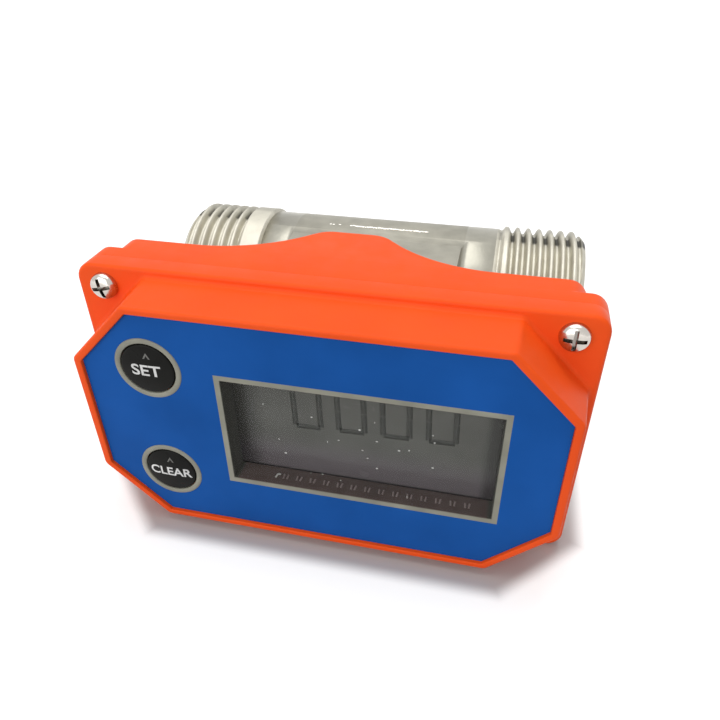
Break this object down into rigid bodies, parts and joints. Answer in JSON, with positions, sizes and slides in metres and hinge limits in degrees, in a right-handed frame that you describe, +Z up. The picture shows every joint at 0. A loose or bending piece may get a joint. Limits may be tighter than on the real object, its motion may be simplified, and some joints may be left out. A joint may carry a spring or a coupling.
{
  "type": "turbine flow meter",
  "caption": "Inline turbine flow meter: threaded steel tube with a spinning rotor inside, and an orange display housing with a window and push buttons on its side.",
  "frame": {"origin": "on the flow axis, where the inlet's full thread begins, 1.8 mm in from the inlet end face", "axes": "+X along the flow, from inlet to outlet; the display faces -Y; +Z is up, towards the display's top edge"},
  "size_m": [0.0882, 0.0737, 0.0502],
  "materials": {
    "cast_steel": "machined stainless, satin",
    "spring_steel": "bright spring steel",
    "screw_steel": "bright zinc or nickel plate",
    "cell_steel": "nickel-plated can",
    "trim_silver": "satin silver",
    "housing_plastic": "moulded ABS, fine satin, orange",
    "overlay_film": "printed film, blue, semi-gloss",
    "button_black": "black, semi-gloss",
    "window_clear": "clear acrylic",
    "display_glass": "display glass with grey polariser",
    "switch_plastic": "black moulding",
    "strip_rubber": "layered silicone",
    "board_green": "solder-resist green",
    "sensor_epoxy": "moulded epoxy",
    "lead_jacket": "black PVC jacket",
    "socket_nylon": "natural nylon",
    "seal_rubber": "black nitrile",
    "acetal": "natural acetal",
    "rotor_nylon": "dark filled nylon",
    "bush_ceramic": "alumina ceramic",
    "magnet_ferrite": "ferrite",
    "washer_ptfe": "PTFE"
  },
  "bodies": {
    "meter": {"flow_body": "cast_steel", "inlet_spider": "acetal", "outlet_spider": "acetal", "inlet_bush": "bush_ceramic", "outlet_bush": "bush_ceramic", "inlet_snap_ring": "spring_steel", "outlet_snap_ring": "spring_steel", "hall_sensor": "sensor_epoxy", "sensor_sleeve": "sensor_epoxy", "sensor_lead": "lead_jacket", "lead_grommet": "seal_rubber", "neck_gasket": "seal_rubber", "neck_screws": "screw_steel", "rear_housing": "housing_plastic", "housing_gasket": "seal_rubber", "front_bezel": "housing_plastic", "cover_screws": "screw_steel", "face_overlay": "overlay_film", "window_trim": "trim_silver", "lcd_window": "window_clear", "button_rings": "trim_silver", "tact_switches": "switch_plastic", "lcd_glass": "display_glass", "lcd_frame": "switch_plastic", "contact_strips": "strip_rubber", "circuit_board": "board_green", "board_screws": "screw_steel", "cell_holder": "switch_plastic", "coin_cell": "cell_steel", "cell_clip": "spring_steel", "main_chip": "sensor_epoxy", "crystal_can": "cell_steel", "lead_socket": "socket_nylon"},
    "turbine": {"rotor": "rotor_nylon", "rotor_shaft": "spring_steel", "rotor_magnet": "magnet_ferrite", "thrust_washers": "washer_ptfe"},
    "set_key": {"set_button": "button_black", "set_plunger": "switch_plastic"},
    "clear_key": {"clear_button": "button_black", "clear_plunger": "switch_plastic"}
  },
  "joints": [
    {"name": "rotor_spin", "type": "hinge", "parent": "meter", "child": "turbine", "pos_m": [0.0422, 0, 0], "axis": [1, 0, 0], "continuous": true},
    {"name": "set_press", "type": "slide", "parent": "meter", "child": "set_key", "axis": [0, 1, 0], "range_m": [0, 0.0005], "stiffness_N_per_m": 1500, "springref_m": -0.0002},
    {"name": "clear_press", "type": "slide", "parent": "meter", "child": "clear_key", "axis": [0, 1, 0], "range_m": [0, 0.0005], "stiffness_N_per_m": 1500, "springref_m": -0.0002}
  ]
}
